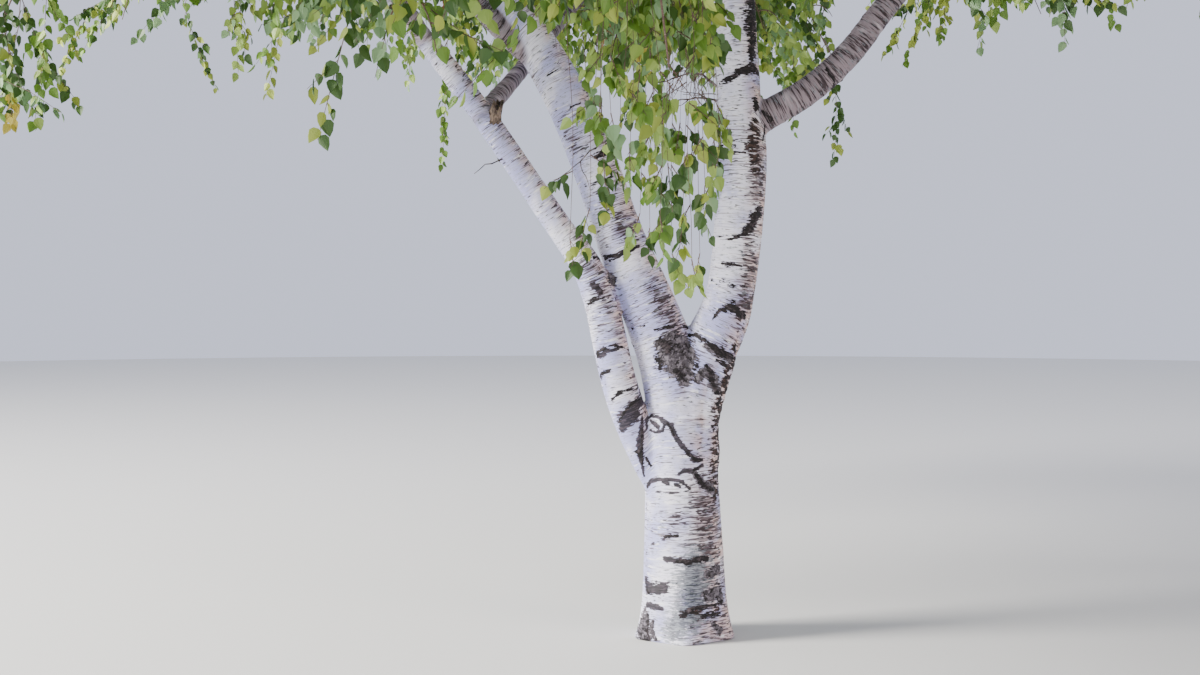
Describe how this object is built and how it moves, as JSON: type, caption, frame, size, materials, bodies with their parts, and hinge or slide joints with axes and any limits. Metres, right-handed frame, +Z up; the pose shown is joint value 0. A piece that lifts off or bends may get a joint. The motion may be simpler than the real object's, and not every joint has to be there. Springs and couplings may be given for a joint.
{
  "type": "silver birch tree",
  "caption": "Open-grown silver birch: a short white-barked trunk that forks low into spreading boughs under a weeping leafy crown.",
  "frame": {"origin": "middle of the flat cut at the foot of the trunk, at ground level", "axes": "+Z up along the trunk, +X to the right and -Y towards the viewer of the side that the picture shows"},
  "size_m": [8.6085, 7.8451, 10.9861],
  "materials": {
    "white_bark": "papery white bark with thin dark cross marks and rough black scars",
    "limb_bark": "thin grey-brown bark of the younger limbs",
    "foliage": "living green leaves and fine twigs"
  },
  "bodies": {
    "root": {"trunk": "white_bark", "left_bough": "white_bark", "right_bough": "white_bark", "low_bough": "white_bark", "low_right_limb": "limb_bark", "low_back_limb": "limb_bark", "low_front_limb": "limb_bark", "low_front_left_limb": "limb_bark", "middle_left_limb": "limb_bark", "low_back_left_limb": "limb_bark", "middle_front_left_limb": "limb_bark", "low_front_right_limb": "limb_bark", "middle_back_limb": "limb_bark", "low_back_right_limb": "limb_bark", "middle_front_right_limb": "limb_bark", "upper_right_limb": "limb_bark", "upper_front_limb": "limb_bark", "upper_back_limb": "limb_bark", "top_foliage": "foliage", "upper_left_foliage": "foliage", "upper_front_foliage": "foliage", "upper_back_foliage": "foliage", "upper_right_foliage": "foliage", "middle_left_foliage": "foliage", "middle_front_left_foliage": "foliage", "middle_back_foliage": "foliage", "middle_front_right_foliage": "foliage", "low_back_left_foliage": "foliage", "low_left_foliage": "foliage", "low_front_left_foliage": "foliage", "low_front_foliage": "foliage", "low_back_foliage": "foliage", "low_right_foliage": "foliage", "low_front_right_foliage": "foliage", "low_back_right_foliage": "foliage"}
  },
  "joints": []
}
